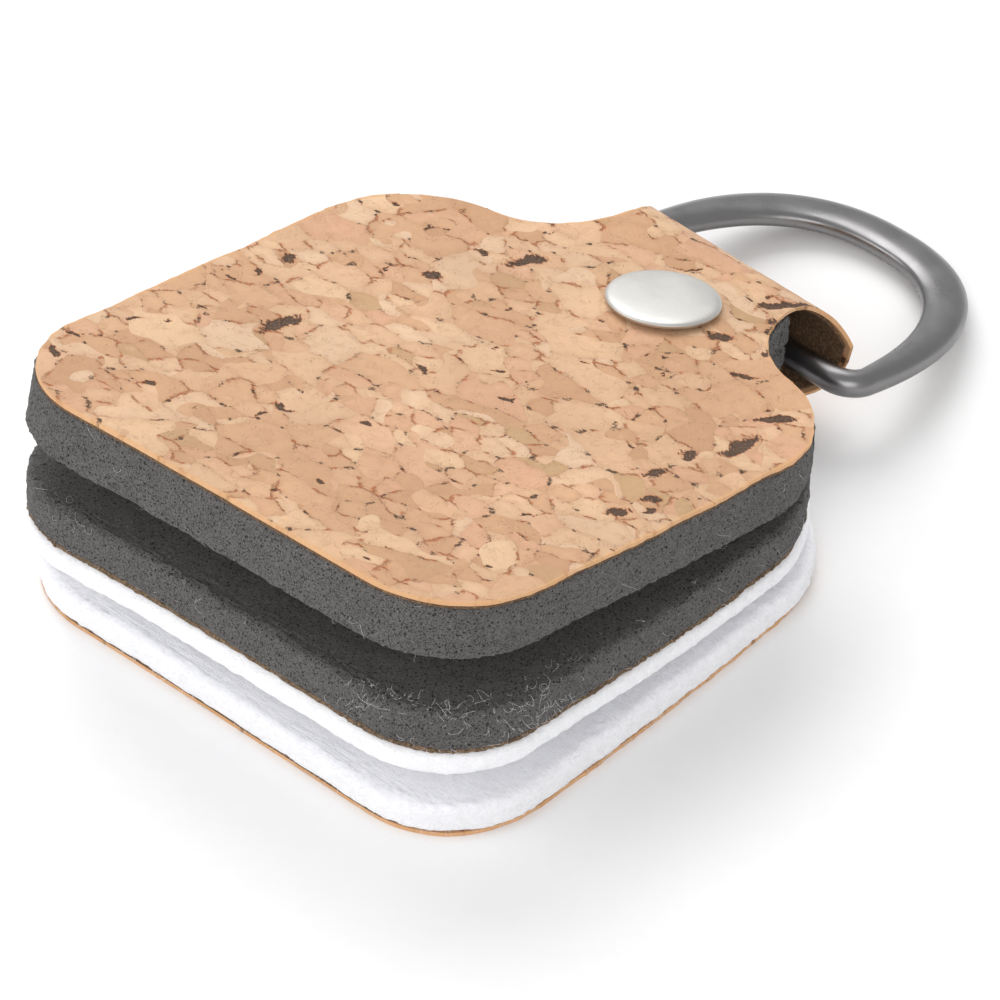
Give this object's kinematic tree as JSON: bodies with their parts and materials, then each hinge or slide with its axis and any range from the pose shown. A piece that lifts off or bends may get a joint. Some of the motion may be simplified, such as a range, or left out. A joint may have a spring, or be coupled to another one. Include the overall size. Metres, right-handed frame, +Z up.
{
  "type": "folding cleaning pad",
  "caption": "Square folding pad of foam and felt leaves in a folded cork cover, riveted at the neck and hung on a swinging D-ring.",
  "frame": {"origin": "centre of the square part of the bottom cork panel, on its underside", "axes": "+Z up through the stacked leaves, +Y from the pad to the D-ring, +X across the pad"},
  "size_m": [0.05, 0.0801, 0.0237],
  "materials": {
    "cork": "cork fabric, natural mottled flakes, dull",
    "foam": "fine open-cell foam, cut edges, matte",
    "divider": "thin fibre board, cut edge, matte",
    "felt": "white pressed felt, fuzzy",
    "rivet": "satin nickel plate",
    "ring": "black nickel plate, satin"
  },
  "bodies": {
    "root": {"cork_cover_base": "cork", "lower_felt_pad": "felt", "upper_felt_tab": "felt", "divider_tab": "divider", "middle_foam_tab": "foam", "top_foam_tab": "foam", "rivet_cap": "rivet", "rivet_post": "rivet"},
    "middle_leaf": {"middle_foam_pad": "foam", "divider_sheet": "divider", "upper_felt_pad": "felt"},
    "top_leaf": {"cork_top_panel": "cork", "top_foam_pad": "foam"},
    "ring": {"d_ring": "ring"}
  },
  "joints": [
    {"name": "middle_leaf_flex", "type": "hinge", "parent": "root", "child": "middle_leaf", "pos_m": [0, 0.0195, 0.01435], "axis": [-1, 0, 0], "range_deg": [-3, 25]},
    {"name": "top_leaf_flex", "type": "hinge", "parent": "middle_leaf", "child": "top_leaf", "pos_m": [0, 0.0195, 0.01435], "axis": [-1, 0, 0], "range_deg": [-6.5, 60]},
    {"name": "ring_swing", "type": "hinge", "parent": "root", "child": "ring", "pos_m": [0, 0.0326, 0.0061], "axis": [1, 0, 0], "range_deg": [-100, 110]}
  ]
}
